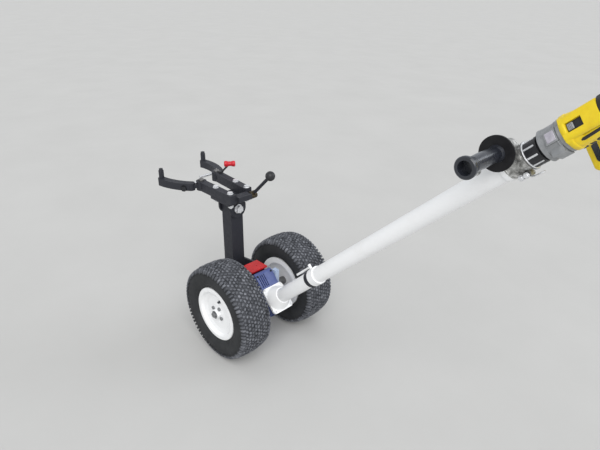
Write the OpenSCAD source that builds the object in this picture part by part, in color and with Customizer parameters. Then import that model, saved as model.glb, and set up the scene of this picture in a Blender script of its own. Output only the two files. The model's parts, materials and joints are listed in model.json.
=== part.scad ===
// Hand-guided tug for light aircraft: two driven wheels on a worm gearbox,
// a post with a rocking tow head, and a long handle tube turned by a drill.
// X runs forward, Y to the left, Z up. The origin is the point between the
// two jaws where the nose gear is held. All sizes are in millimetres.

/* [Tow head] */
// Grip point ahead of the axle
tow_x = 400; // [380:1:430]
// Height of the grip point over the floor
tow_z = 504; // [495:1:520]
// Width of each straight arm
arm_w = 26; // [22:0.5:28]
// Height of each straight arm
arm_h = 32; // [28:0.5:36]
// Half the distance between the arms
arm_y = 40; // [38:0.5:44]
// Where the left jaw pivots, ahead of the axle
knuckle_left_x = 258; // [250:1:270]
// Where the right jaw pivots, ahead of the axle
knuckle_right_x = 295; // [285:1:300]
// Length of a jaw from pivot to tip
jaw_l = 148; // [135:1:160]
// How far the left jaw points outwards
jaw_left_angle = 34; // [25:1:40]
// How far the right jaw points outwards
jaw_right_angle = 16; // [10:1:25]
// Diameter of a tow pin
tow_pin_d = 10; // [8:0.5:14]
// Free length of a tow pin
tow_pin_l = 66; // [40:1:68]

/* [Post] */
// Side of the square post
post_w = 50; // [45:1:52]
// Wall of the square post
post_t = 4; // [3:0.5:5]
// Post centre ahead of the axle
post_x = 138; // [134:1:142]
// Height of the rocking bolt over the floor
rock_z = 452; // [448:1:456]
// Diameter of the rocking bolt
rock_d = 16; // [12:1:20]

/* [Wheels] */
// Outer diameter of a tyre
tyre_d = 330; // [310:1:340]
// Width of a tyre
tyre_w = 118; // [100:1:125]
// Distance between the tyre centres
track = 289; // [280:1:310]
// Outer diameter of the rim flanges
rim_d = 187; // [175:1:195]
// Width of a rim over its flanges
rim_w = 100; // [90:1:104]
// Diameter of the axle
axle_d = 25; // [20:1:30]

/* [Gearbox] */
// Distance between the axle and the worm
centre_distance = 50; // [47:0.5:53]
// Width of the gearbox across the vehicle
gearbox_w = 72; // [64:1:80]
// Wall of the round output cover
cover_t = 10; // [6:1:12]

/* [Handle] */
// Slope of the handle over the floor
handle_angle = 43.65; // [41:0.05:46]
// Diameter of the handle tube
tube_d = 48.3; // [44:0.1:52]
// Wall of the handle tube
tube_t = 3; // [2:0.25:4]
// End of the handle tube, from the axle
tube_end = 1025; // [980:1:1060]
// Diameter of the drive shaft
shaft_d = 12.7; // [10:0.1:14]

/* [Drill] */
// Turn of the drill about its spindle, from upright to the left
drill_roll = 70; // [0:1:90]
// Largest diameter of the chuck
chuck_d = 53; // [48:1:58]
// Length of the drill's gear case
case_l = 46; // [42:1:50]
// Diameter of the round motor body
motor_d = 67; // [62:1:72]
// Length of the drill's yellow body
motor_l = 68; // [64:1:76]
// Length of the battery
battery_l = 116; // [100:1:124]

/* [Hidden] */
$fn = 64;
// Radial clearance of every part that turns in another
run = 0.05;
// Side clearance between a part that swings and what carries it
side = 0.4;
// Clearance of two hard parts bolted face to face stays zero
tyre_r = tyre_d / 2;
rim_r = rim_d / 2;
bead_r = rim_r - 15;
head_z = 488;                     // underside of the arms over the floor
plate_t = 8;
lug_t = 8;
lug_w = 66;
lug_neck_w = 56;                  // beside the nuts of the arm bolts
lug_gap = 0.5;                    // running gap beside the post
post_top = rock_z + 18;
rear_lug_x = post_x - post_w / 2 - lug_gap - lug_t;
front_lug_x = post_x + post_w / 2 + lug_gap;
arm_left_x0 = 75;
arm_right_x0 = 93.5;
arm_right_y = -38;
plate_x0 = 86;
knuckle_left_y = arm_y - 2;
knuckle_right_y = -55;
knuckle_r = 18;
knuckle_d = 12;
eye_t = 13;
jaw_w = 26;
jaw_h = 26;
jaw_z = head_z + arm_h / 2;       // middle of arms and jaws
elbow = [30, 20];                 // outward bend of a jaw, from its pivot
tow_pin_at = [44.2, 9.2];         // where its axis leaves the jaw, from the pivot
tow_pin_lean = 16;                // so that it lies across the vehicle
tow_pin_seat = 24;                // seat of its nut, outwards along its axis
tow_pin_drop = 5;                 // below the middle of the jaw
tow_pin_shank = 12;
shoulder = 3;
stub_d = 18;
stub_h = 28;
block_x0 = 60;
block_x1 = 92;
block_y = arm_y - arm_w / 2 - 0.2;
block_rise = 6;
block_h = 18;
lever_x = 74;
lever_z = head_z + 14;
lever_hub_d = 26;
lever_hub_w = 24;
lever_pin_d = 10;
lever_l = 130;
lever_ball_d = 32;
lever_rod_d = 11;
// Columns: distance ahead of the axle, distance to the left
ARM_BOLTS = [[94, arm_y - 1.5], [172, arm_y - 1], [104, -39], [171, -44.5]];
bolt_d = 10;
foot_t = 8;
foot_z0 = 150;
foot_z1 = 238;
cap_x0 = -2;
cap_x1 = 54;
cap_z = 253;
cap_w = 68;
box_s1 = 76;                      // rear face of the gearbox
box_s0 = -60;
box_u1 = 58;
box_u0 = -96;
box_r = 12;
bearer = [20, 16, 58];            // block on the right cover: length, width, height
bearer_at = [-37, -58, 190];      // its rear lower corner on the right
worm_bore = 36;
cover_d = 88;
cover_hub_d = 56;
cover_ring = 36;                  // radius of the ring of cover bolts
flange_s = box_s1 + 8;
flare_d = 86;
flare_l = 34;
neck_d = tube_d;
neck_wall = 4;
joint_d = 54;
joint_s = flange_s + 207;
sleeve_s = joint_s + 18;
sleeve_d = 56;
sleeve_l = 27;
fit_l = 44;
fit_s1 = tube_end + fit_l;
fit_d = 50;
grip_s = tube_end + 21;
grip_u = 33;
grip_d = 29;
grip_end_d = 43;
grip_end_y = 176;
guard_d = 71;
guard_y = 58;
guard_t = 4;
backing_t = 2.5;                  // pale plate behind the guard
chuck_s = fit_s1 + 2;
collar_d = 59;
collar_t = 3;
chuck_l = 38;
inlays = 9;
spindle_d = 20;
case_s = chuck_s + chuck_l;
case_d = 62;
case_rim_d = 65;
motor_s = case_s + case_l;
nose_l = 14;                      // full round front of the yellow body
waist_d = 55;                     // its rear end
keel_w = 46;                      // flats above and below, the hilt seated on the lower
cap_s = motor_s + motor_l;
cap_l = 24;
hilt_s = motor_s + 46;
hilt_l = 132;
hilt_lean = 9;
foot_w = 92;
foot_h = 22;
battery_h = 52;
foot_s = hilt_s - hilt_l * tan(hilt_lean) - 9;
hub_in = 20 - rim_w / 2;          // rim hub and inner disc, outwards from the tyre's middle
hub_out = 50;
hub_d = 32;
dish_t = 4;
wheel_bolt_ring = 24;
hub_washer_t = 1.5;
lugs = 24;                        // pitches round a tyre
lug_h = 5.5;
crown = 0.0032;                   // fall of the tread over the square of the distance across
// Where a lug and the gap behind it begin and end, in shares of the pitch
LUG_STEPS = [0.03, 0.47, 0.53, 0.97];
// Inner and outer edge across of each row of lugs
LUG_ROWS = [[-47, -31.5], [-28.5, -11.5], [-8.5, 8.5], [11.5, 28.5], [31.5, 47]];
// Plain rings of a tyre. Columns: distance across, radius
SIDE = [[tyre_w / 2 - 5, 148], [tyre_w / 2, 125], [tyre_w / 2 - 5, 106], [43.6, rim_r + 1.1],
  [43.6, bead_r + 0.5]];
INSIDE = [[34, bead_r + 0.5], [tyre_w / 2 - 10, 126], [tyre_w / 2 - 23, 148]];

// Shared frames and shapes

module from_floor(x, y, z) { translate([x - tow_x, y, z - tow_z]) children(); }

// Local X is up from the tube, Y is left, Z runs along the tube to the rear
module tube_frame() {
  from_floor(0, 0, tyre_r) rotate([0, handle_angle - 90, 0]) children();
}
module tube_axis() { tube_frame() translate([-centre_distance, 0, 0]) children(); }
module drill_frame() { tube_axis() rotate([0, 0, drill_roll]) children(); }

module along_x(d, l) { rotate([0, 90, 0]) cylinder(d = d, h = l); }
module along_y(d, l) { rotate([-90, 0, 0]) cylinder(d = d, h = l); }

module ring(d, bore, h) {
  difference() { cylinder(d = d, h = h); translate([0, 0, -1]) cylinder(d = bore, h = h + 2); }
}

module hex(across, h) { cylinder(d = across / cos(30), h = h, $fn = 6); }

// Rectangle with round corners, centred
module soft_rect(w, h, r) {
  square([w - 2 * r, h], center = true);
  square([w, h - 2 * r], center = true);
  for (i = [-1, 1]) for (j = [-1, 1]) translate([i * (w / 2 - r), j * (h / 2 - r)]) circle(r);
}

// Straight bar in the plane from p to q, w wide, with round ends
module flat_bar(p, q, w) {
  d = q - p;
  translate(p) rotate(atan2(d[1], d[0])) translate([0, -w / 2]) square([norm(d), w]);
  translate(p) circle(w / 2);
  translate(q) circle(w / 2);
}

// Tow head, carried by the nose gear

module head_bracket() {
  color("dimgray") from_floor(0, 0, 0) difference() {
    union() {
      translate([plate_x0, -arm_y - arm_w / 2 - 4, head_z - plate_t])
        cube([front_lug_x + lug_t + 14 - plate_x0, 2 * arm_y + arm_w + 4, plate_t]);
      for (x = [rear_lug_x, front_lug_x]) translate([x, 0, 0]) {
        translate([0, 0, rock_z]) along_x(lug_w, lug_t);
        translate([0, -lug_w / 2, rock_z]) cube([lug_t, lug_w, 14]);
        translate([0, -lug_neck_w / 2, rock_z]) cube([lug_t, lug_neck_w, head_z - plate_t - rock_z]);
      }
    }
    translate([rear_lug_x - 1, 0, rock_z]) along_x(rock_d, post_w + 2 * lug_t + 4);
    for (b = ARM_BOLTS) translate([b[0], b[1], head_z - plate_t - 1])
      cylinder(d = bolt_d, h = plate_t + 2);
  }
}

module head_block() {
  color("#2b2b2e") from_floor(block_x0, -block_y, head_z + block_rise) difference() {
    cube([block_x1 - block_x0, 2 * block_y, block_h]);
    translate([lever_x - block_x0, -1, lever_z - head_z - block_rise]) along_y(8, 26);
  }
}

module arm(x0, y0, x1, y1, bolts) {
  from_floor(0, 0, head_z) difference() {
    linear_extrude(arm_h) {
      d = [x1 - x0, y1 - y0];
      translate([x0, y0]) rotate(atan2(d[1], d[0])) translate([0, -arm_w / 2]) square([norm(d), arm_w]);
      translate([x1, y1]) circle(knuckle_r);
    }
    translate([x1 - knuckle_r - 4, y1 - knuckle_r - 6, (arm_h - eye_t) / 2 - side])
      cube([2 * knuckle_r + 20, 2 * knuckle_r + 12, eye_t + 2 * side]);
    translate([x1, y1, -1]) cylinder(d = knuckle_d, h = arm_h + 2);
    for (b = bolts) translate([b[0], b[1], -1]) cylinder(d = bolt_d, h = arm_h + 2);
  }
}

module arm_left() {
  color("#303034")
    arm(arm_left_x0, arm_y, knuckle_left_x, knuckle_left_y, [ARM_BOLTS[0], ARM_BOLTS[1]]);
}
module arm_right() {
  color("#303034")
    arm(arm_right_x0, arm_right_y, knuckle_right_x, knuckle_right_y, [ARM_BOLTS[2], ARM_BOLTS[3]]);
}

module arm_bolts() {
  color("silver") for (b = ARM_BOLTS) from_floor(b[0], b[1], head_z - plate_t) {
    cylinder(d = bolt_d, h = plate_t + arm_h);
    translate([0, 0, plate_t + arm_h]) { cylinder(d = 20, h = 1.5); translate([0, 0, 1.5]) hex(16, 4.5); }
    translate([0, 0, -8]) hex(16, 8);
    translate([0, 0, -12]) cylinder(d = bolt_d - 1, h = 4);
  }
}

module rock_bolt() {
  color("silver") from_floor(rear_lug_x, 0, rock_z) {
    along_x(rock_d, post_w + 2 * lug_gap + 2 * lug_t);
    translate([-2.5, 0, 0]) along_x(32, 2.5);
    translate([-12.5, 0, 0]) rotate([0, 90, 0]) hex(24, 10);
    translate([post_w + 2 * lug_gap + 2 * lug_t, 0, 0]) {
      along_x(32, 2.5);
      translate([2.5, 0, 0]) rotate([0, 90, 0]) hex(24, 13);
    }
  }
}

module knuckle_pins() {
  color("gray")
    for (k = [[knuckle_left_x, knuckle_left_y], [knuckle_right_x, knuckle_right_y]])
      from_floor(k[0], k[1], head_z) {
        cylinder(d = knuckle_d, h = arm_h);
        translate([0, 0, arm_h]) cylinder(d = 20, h = 5);
        translate([0, 0, -4]) cylinder(d = 20, h = 4);
      }
}

module lever_bolt() {
  color("silver") from_floor(lever_x, 0, lever_z) {
    translate([0, -block_y - lever_hub_w - 2 * side, 0]) along_y(lever_pin_d, lever_hub_w + 2 * side);
    translate([0, -block_y - lever_hub_w - 2 * side - 5, 0]) along_y(16, 5);
    translate([0, -block_y, 0]) along_y(8, 24);
  }
}

// Red grip of the right jaw's lock, lying on its thin stalk
module release_grip() {
  stalk = [-22, -27, 35];
  base = [knuckle_right_x - 22, knuckle_right_y - 1, head_z + arm_h];
  l = norm(stalk);
  tilt = acos(stalk[2] / l);
  turn = atan2(stalk[1], stalk[0]);
  half = 20;
  from_floor(base[0], base[1], base[2]) {
    color("gray") cylinder(d = 14, h = 8);
    color("gray") rotate([0, tilt, turn]) translate([0, 0, 7]) cylinder(d = 7, h = l - 9);
    // Columns: radius, distance along
    color("red") translate(stalk) rotate([0, 90, turn]) rotate_extrude() polygon([
      [0, -half], [8, -half], [10.5, -half + 3], [10.5, -half + 9], [8.5, -half + 15], [8.5, half - 15],
      [10.5, half - 9], [10.5, half - 3], [8, half], [0, half]]);
  }
}

// Jaw in its own plan: pivot at the origin, tip on +X, outside on +Y
module jaw_plan() {
  tip = [jaw_l, 0];
  bow = 9;
  d = tip - elbow;
  c = norm(d);
  r = (c * c / 4 + bow * bow) / (2 * bow);
  translate(elbow) rotate(atan2(d[1], d[0])) intersection() {
    translate([c / 2, bow - r]) difference() {
      circle(r + jaw_w / 2, $fn = 180);
      circle(r - jaw_w / 2, $fn = 180);
    }
    translate([0, -jaw_w]) square([c, 3 * jaw_w]);
  }
  translate(elbow) circle(jaw_w / 2);
  translate(tip) circle(jaw_w / 2);
}

module jaw(turn, mirrored) {
  rotate(turn) mirror([0, mirrored, 0]) difference() {
    union() {
      difference() {
        translate([0, 0, -jaw_h / 2]) linear_extrude(jaw_h) jaw_plan();
        translate([0, 0, -jaw_h / 2 - 1]) cylinder(r = knuckle_r + 6, h = jaw_h + 2);
      }
      translate([0, 0, -eye_t / 2]) linear_extrude(eye_t) {
        circle(knuckle_r);
        flat_bar([0, 0], elbow, 20);
      }
      translate([jaw_l, 0, jaw_h / 2]) cylinder(d = stub_d, h = stub_h);
      translate([jaw_l, 0, jaw_h / 2 + stub_h]) cylinder(d = 16, h = 1.5);
      translate([jaw_l, 0, jaw_h / 2 + stub_h + 1.5]) hex(13, 5.5);
    }
    translate([0, 0, -eye_t]) cylinder(d = knuckle_d + 2 * run, h = 2 * eye_t);
    along_tow_pin() {
      translate([0, 0, -20]) cylinder(d = tow_pin_shank, h = 60);
      translate([0, 0, tow_pin_seat]) cylinder(d = tow_pin_shank + 11, h = 30);
    }
  }
}

// Local Z runs outwards along a tow pin, from the inner face of its jaw
module along_tow_pin() {
  translate([tow_pin_at[0], tow_pin_at[1], -tow_pin_drop])
    rotate([0, 0, -tow_pin_lean]) rotate([-90, 0, 0]) children();
}

module tow_pin(turn, mirrored) {
  rotate(turn) mirror([0, mirrored, 0]) along_tow_pin() {
    translate([0, 0, -shoulder - tow_pin_l]) cylinder(d = tow_pin_d, h = tow_pin_l);
    translate([0, 0, -shoulder]) cylinder(d = tow_pin_shank, h = shoulder + tow_pin_seat);
    translate([0, 0, tow_pin_seat]) hex(18, 8);
  }
}

module at_left_knuckle() { from_floor(knuckle_left_x, knuckle_left_y, jaw_z) children(); }
module at_right_knuckle() { from_floor(knuckle_right_x, knuckle_right_y, jaw_z) children(); }

module jaw_left() { color("#28282b") at_left_knuckle() jaw(jaw_left_angle, 0); }
module jaw_right() { color("#28282b") at_right_knuckle() jaw(-jaw_right_angle, 1); }
module tow_pin_left() { color("silver") at_left_knuckle() tow_pin(jaw_left_angle, 0); }
module tow_pin_right() { color("silver") at_right_knuckle() tow_pin(-jaw_right_angle, 1); }

// Clamp lever at the rear of the head
module at_lever() {
  from_floor(lever_x, -block_y - side - lever_hub_w / 2, lever_z) rotate([0, -45, 0]) children();
}
module lever_hub() {
  color("#8a6a3a") at_lever() difference() {
    union() {
      translate([0, -lever_hub_w / 2, 0]) along_y(lever_hub_d, lever_hub_w);
      cylinder(d = 15, h = lever_hub_d / 2 + 6);
    }
    translate([0, -lever_hub_w, 0]) along_y(lever_pin_d + 2 * run, 2 * lever_hub_w);
  }
}
module lever_rod() {
  color("#202022") at_lever() translate([0, 0, lever_hub_d / 2 + 6])
    cylinder(d = lever_rod_d, h = lever_l - lever_hub_d / 2 - 6 - lever_ball_d / 2 + 1);
}
module lever_ball() {
  color("#151516") at_lever() translate([0, 0, lever_l]) intersection() {
    sphere(d = lever_ball_d);
    translate([0, 0, 50 - lever_ball_d / 2 + 1]) cube(100, center = true);
  }
}

// Tug frame

module post() {
  color("#26262a") from_floor(post_x, 0, 0) difference() {
    union() {
      difference() {
        translate([-post_w / 2, -post_w / 2, foot_z0]) cube([post_w, post_w, post_top - foot_z0]);
        translate([-post_w / 2 + post_t, -post_w / 2 + post_t, foot_z0 - 1])
          cube([post_w - 2 * post_t, post_w - 2 * post_t, post_top - foot_z0 - 3]);
      }
      translate([-post_w / 2, 0, rock_z]) along_x(rock_d + 10, post_w);
    }
    translate([-post_w, 0, rock_z]) along_x(rock_d + 2 * run, 2 * post_w);
  }
}

// Foot bolted on the gearbox's front face, its cheeks on both sides of the post
module post_foot() {
  color("#2a2a2d") difference() {
    union() {
      for (s = [0, 1]) mirror([0, s, 0]) from_floor(0, post_w / 2, 0) rotate([90, 0, 0]) mirror([0, 0, 1])
        linear_extrude(foot_t) polygon([
          [post_x + post_w / 2, foot_z0], [post_x + post_w / 2, foot_z1],
          [post_x - post_w / 2 - 20, foot_z1 + 8], [cap_x1, cap_z], [cap_x0 + 8, cap_z],
          [52, foot_z0 - 20], [90, foot_z0 - 20]]);
    }
    tube_frame() translate([box_u0, -100, box_s0]) cube([box_u1 - box_u0, 200, 400]);
  }
}

module cap_plate() {
  color("#d42020") difference() {
    from_floor(cap_x0, -cap_w / 2, cap_z) cube([cap_x1 - cap_x0, cap_w, 5]);
    tube_frame() translate([box_u0, -100, box_s0]) cube([box_u1 - box_u0, 200, 400]);
  }
}

// Gearbox outline in the plane of the tube, local X up and Y along the tube
module housing_plan() {
  translate([(box_u0 + box_u1) / 2, (box_s0 + box_s1) / 2])
    soft_rect(box_u1 - box_u0, box_s1 - box_s0, box_r);
}

// Turns a plan drawn in (up, along) so that it extrudes across the vehicle
module across(w) { rotate([90, 0, 0]) linear_extrude(w, center = true) children(); }

module gearbox_housing() {
  slots = 4;
  slot_w = 4.4;
  pitch = 7.8;
  slot_u = 2;
  color("#2b4a9a") tube_frame() difference() {
    union() {
      across(gearbox_w) housing_plan();
      rotate([90, 0, 0]) cylinder(d = 104, h = gearbox_w + 4, center = true);
    }
    for (i = [0:slots - 1]) translate([slot_u, gearbox_w / 2 - 7 - slot_w - i * pitch, box_s1 - 6])
      cube([box_u1 - box_r - slot_u, slot_w, 20]);
    rotate([90, 0, 0]) cylinder(d = axle_d + 2 * run, h = 2 * gearbox_w, center = true);
    translate([-centre_distance, 0, box_s1 - 40]) cylinder(d = worm_bore, h = 60);
  }
}

module gearbox_covers() {
  color("#7f9ad0") from_floor(bearer_at[0], bearer_at[1], bearer_at[2]) cube(bearer);
  color("#5a74b0") tube_frame() for (s = [0, 1]) mirror([0, s, 0])
    translate([0, gearbox_w / 2 + 2, 0]) difference() {
      union() {
        along_y(cover_d, cover_t - 4);
        translate([0, cover_t - 4, 0]) along_y(cover_hub_d, 4);
        for (i = [0:5]) rotate([0, 60 * i + 30, 0]) translate([cover_ring, cover_t - 4, 0]) along_y(8, 3);
      }
      translate([0, -1, 0]) along_y(axle_d + 2 * run, cover_t + 2);
    }
}

module input_flange() {
  color("white") tube_axis() difference() {
    union() {
      translate([0, 0, box_s1]) linear_extrude(flange_s - box_s1) soft_rect(92, 85, 12);
      translate([0, 0, flange_s]) cylinder(d1 = flare_d, d2 = neck_d + 6, h = flare_l);
      translate([0, 0, box_s1 - 12]) cylinder(d = worm_bore - 0.2, h = 14);
    }
    translate([0, 0, box_s1 - 20]) cylinder(d = 28, h = 80);
    translate([0, 0, flange_s + 4]) cylinder(d = neck_d, h = 40);
  }
}

module neck() {
  color("white") tube_axis() translate([0, 0, flange_s + 4])
    ring(neck_d, neck_d - 2 * neck_wall, sleeve_s - flange_s - 4);
}

module joint_ring() {
  color("#3a3a34") tube_axis() translate([0, 0, joint_s]) ring(joint_d, neck_d, sleeve_s - joint_s);
}

module handle_tube() {
  bore = tube_d - 2 * tube_t;
  color("white") tube_axis() {
    translate([0, 0, sleeve_s]) ring(tube_d, bore, tube_end - sleeve_s);
    translate([0, 0, sleeve_s]) ring(sleeve_d, bore, sleeve_l);
    translate([0, 0, tube_end - 10]) ring(tube_d + 6, bore, 10);
  }
}

// Locking rod over the joint, its stub seated on the sleeve
module lock_pin() {
  rod_d = 7;
  rod_u = sleeve_d / 2 + 5;
  stub_s = sleeve_s + 8;
  color("white") tube_axis() {
    translate([rod_u, 0, joint_s - 50]) cylinder(d = rod_d, h = stub_s - joint_s + 50);
    translate([sleeve_d / 2 + 0.3, 0, stub_s]) rotate([0, 90, 0]) cylinder(d = rod_d + 2, h = 14);
  }
}

module end_fitting() {
  lip = 38;
  color("#a8aaac") tube_axis() difference() {
    union() {
      translate([0, 0, tube_end]) cylinder(d = fit_d, h = fit_l);
      translate([0, 0, tube_end - 40]) cylinder(d = tube_d - 2 * tube_t, h = 42);
      translate([-fit_d / 2 - 10, -8, tube_end + 8]) cube([20, 16, 26]);
      for (s = [15, 27]) translate([-fit_d / 2 - 5, -13, tube_end + s]) along_y(8, 26);
      translate([grip_u, 0, grip_s]) along_y(lip, guard_y - guard_t);
      translate([grip_u, guard_y - guard_t - backing_t, grip_s]) along_y(guard_d - 1, backing_t);
      translate([0, 0, grip_s - lip / 2]) linear_extrude(lip) square([grip_u, guard_y - 8]);
    }
    translate([0, 0, tube_end - 50]) cylinder(d = shaft_d + 2 * run, h = fit_l + 60);
    translate([grip_u, 20, grip_s]) along_y(16, guard_y);
  }
}

module side_grip() {
  l = grip_end_y - guard_y;
  r = grip_d / 2;
  e = grip_end_d / 2;
  // Columns: radius, distance outwards
  color("#1a1a1c") tube_axis() translate([grip_u, guard_y, grip_s]) rotate([-90, 0, 0])
    rotate_extrude() polygon([
      [0, 0], [r + 3, 0], [r, 6], [r + 1.5, l / 2], [r, l - 15], [e - 3, l - 10],
      [e, l - 7], [e, l - 2], [e - 2, l], [r - 0.5, l], [r - 2, l - 20], [0, l - 20]]);
}

module grip_guard() {
  color("#1a1a1c") tube_axis() translate([grip_u, guard_y - guard_t, grip_s]) along_y(guard_d, guard_t);
}

// Bar that keeps the drill from turning, on the side away from the grip
module torque_arm() {
  y0 = -fit_d / 2 - 18;
  color("#b0b2b4") tube_axis() difference() {
    union() {
      translate([-12, y0, tube_end + 12]) cube([24, 8, motor_s - tube_end - 16]);
      translate([-12, y0, tube_end + 12]) cube([24, 30, 14]);
      translate([-12, y0, motor_s - 20]) cube([24, 20, 12]);
    }
    translate([0, 0, tube_end]) cylinder(d = fit_d, h = fit_l);
    translate([0, 0, case_s]) cylinder(d = case_d, h = 2 * case_l);
  }
}

module drive_shaft() {
  color("silver") tube_axis() {
    translate([0, 0, tube_end - 36]) cylinder(d = shaft_d, h = chuck_s + 20 - tube_end + 36);
    translate([0, 0, chuck_s]) cylinder(d = collar_d, h = collar_t);
  }
}

// Turns its children to each place of the chuck's inlays
module each_inlay() { for (i = [0:inlays - 1]) rotate([0, 0, 360 * (i + 0.5) / inlays]) children(); }

module chuck() {
  grip_l = chuck_l - collar_t;
  color("#2a2a2e") tube_axis() difference() {
    union() {
      translate([0, 0, chuck_s + collar_t]) cylinder(d = chuck_d, h = grip_l - 7);
      translate([0, 0, case_s - 7]) cylinder(d1 = chuck_d - 5, d2 = chuck_d - 2, h = 6.5);
      translate([0, 0, case_s - 1]) cylinder(d = spindle_d, h = 14);
    }
    each_inlay() translate([chuck_d / 2 - 2, -2, chuck_s + collar_t + 2]) cube([4, 4, grip_l - 13]);
    translate([0, 0, chuck_s - 1]) cylinder(d = shaft_d, h = 21);
  }
}

module chuck_inlays() {
  color("silver") tube_axis() each_inlay()
    translate([chuck_d / 2 - 2, -1.8, chuck_s + collar_t + 2.2])
      cube([2.6, 3.6, chuck_l - collar_t - 13.4]);
}

// Drill

module drill_case() {
  color("#8f9498") drill_frame() difference() {
    union() {
      translate([0, 0, case_s]) cylinder(d1 = case_rim_d, d2 = case_rim_d - 2, h = 8);
      translate([0, 0, case_s + 8]) cylinder(d = case_d, h = case_l - 8);
      translate([0, 0, motor_s - 8]) cylinder(d = case_d + 4, h = 8);
      translate([0, -13, case_s + 14]) cube([case_d / 2 + 2, 26, case_l - 24]);
      translate([-8, case_d / 2 - 14, case_s + 12]) cube([32, 17, case_l - 22]);
    }
    translate([0, 0, case_s - 1]) cylinder(d = spindle_d + 2 * run, h = 15.5);
  }
}

module drill_body() {
  color("gold") drill_frame() difference() {
    union() {
      translate([0, 0, motor_s]) cylinder(d = motor_d, h = nose_l);
      translate([0, 0, motor_s + nose_l]) cylinder(d1 = motor_d - 1, d2 = waist_d, h = motor_l - nose_l);
      translate([0, 0, motor_s]) linear_extrude(motor_l)
        for (k = [1, -1]) translate([k * motor_d / 4, 0]) soft_rect(motor_d / 2, keel_w, 8);
    }
    translate([motor_d / 2 - 5, -7, motor_s + 10]) cube([10, 18, 29]);
    translate([motor_d / 2 - 14, keel_w / 2 - 3, motor_s + 26]) cube([5, 20, motor_l - 30]);
  }
}

module drill_cap() {
  straight = cap_l - 10;
  color("#303236") drill_frame() translate([0, 0, cap_s]) {
    cylinder(d = motor_d - 2, h = straight);
    translate([0, 0, straight]) cylinder(d1 = motor_d - 2, d2 = motor_d - 20, h = cap_l - straight);
  }
}

module drill_hilt() {
  color("#e0b010") drill_frame() difference() {
    union() {
      translate([0, 0, hilt_s]) rotate([0, -90 - hilt_lean, 0])
        linear_extrude(hilt_l / cos(hilt_lean)) soft_rect(46, 40, 16);
      translate([-hilt_l - foot_h, 0, foot_s]) rotate([0, 90, 0])
        linear_extrude(foot_h) soft_rect(battery_l, foot_w, 10);
      translate([-motor_d / 2 - 30, -6, motor_s + 8]) cube([16, 12, 22]);
    }
    translate([-motor_d / 2, -motor_d, motor_s - 20])
      cube([2 * motor_d, 2 * motor_d, motor_l + cap_l + 40]);
  }
}

module drill_battery() {
  color("#1e1e20") drill_frame() translate([-hilt_l - foot_h - battery_h, 0, foot_s]) rotate([0, 90, 0])
    linear_extrude(battery_h) soft_rect(battery_l, foot_w, 10);
}

// Wheels

module at_axle() { from_floor(0, 0, tyre_r) children(); }

axle_l = track + 2 * hub_out;
spacer_y = gearbox_w / 2 + cover_t + 2.5;
module axle() {
  color("gray") at_axle() {
    translate([0, -axle_l / 2, 0]) along_y(axle_d, axle_l);
    for (s = [0, 1]) mirror([0, s, 0]) translate([0, spacer_y, 0])
      along_y(28, track / 2 + hub_in - spacer_y);
  }
}

// Rim profile. Columns: radius, distance outwards from the tyre's middle
module rim() {
  lip = rim_w / 2;
  well = bead_r - 5;
  dish = lip - 12;
  rotate([-90, 0, 0]) rotate_extrude($fn = 96) difference() {
    polygon([
      [bead_r, 6 - lip], [rim_r, 6 - lip], [rim_r, -lip], [well, -lip], [well, hub_in - 3], [60, hub_in],
      [axle_d / 2, hub_in], [axle_d / 2, hub_out], [hub_d / 2 - 2, hub_out], [hub_d / 2, hub_out - 2],
      [hub_d / 2, dish], [60, dish], [well - 1, dish + 3], [bead_r, lip - 1], [bead_r + 2, lip],
      [rim_r - 2, lip], [rim_r, lip - 2], [rim_r, lip - 6], [bead_r, lip - 6]]);
    polygon([
      [hub_d / 2, hub_in + dish_t], [60, hub_in + dish_t], [well, hub_in + dish_t - 3],
      [well, dish - dish_t + 3], [60, dish - dish_t], [hub_d / 2, dish - dish_t]]);
  }
}

module rim_left() {
  color("white") at_axle() translate([0, track / 2, 0]) difference() {
    rim();
    rotate([0, 255, 0]) translate([52, 0, 0]) along_y(10, rim_w);
  }
}
module rim_right() { color("white") mirror([0, 1, 0]) rim_left(); }

// Tyre as one closed mesh of rings, its lugs staggered from row to row.
// Columns: distance across, radius, row of lugs or -1
RINGS = concat(
  [for (k = [0:len(LUG_ROWS) - 1]) for (t = LUG_ROWS[k]) [t, tyre_r - crown * t * t, k]],
  [for (p = SIDE) [p[0], p[1], -1]],
  [for (p = INSIDE) [p[0], p[1], -1]],
  [for (k = [len(INSIDE) - 1:-1:0]) [-INSIDE[k][0], INSIDE[k][1], -1]],
  [for (k = [len(SIDE) - 1:-1:0]) [-SIDE[k][0], SIDE[k][1], -1]]);
fine = 4 * lugs;
coarse = fine / 3;
function count(k) = RINGS[k][2] < 0 ? coarse : fine;
STARTS = [for (k = 0, n = 0; k < len(RINGS); n = n + count(k), k = k + 1) n];
function is_lug(i, row) = ((i % 4) < 2) == (row % 2 == 0);
function ring_turn(k, i) = RINGS[k][2] < 0 ? i / coarse : (floor(i / 4) + LUG_STEPS[i % 4]) / lugs;
function ring_radius(k, i) = RINGS[k][1] - (RINGS[k][2] < 0 || is_lug(i, RINGS[k][2]) ? 0 : lug_h);
function ring_point(k, i) =
  let (r = ring_radius(k, i), a = 360 * ring_turn(k, i)) [r * cos(a), r * sin(a), RINGS[k][0]];
function at(k, i) = STARTS[k] + i % count(k);
function level(k, m, i) = [[at(k, i), at(m, i), at(m, i + 1)], [at(k, i), at(m, i + 1), at(k, i + 1)]];
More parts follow.
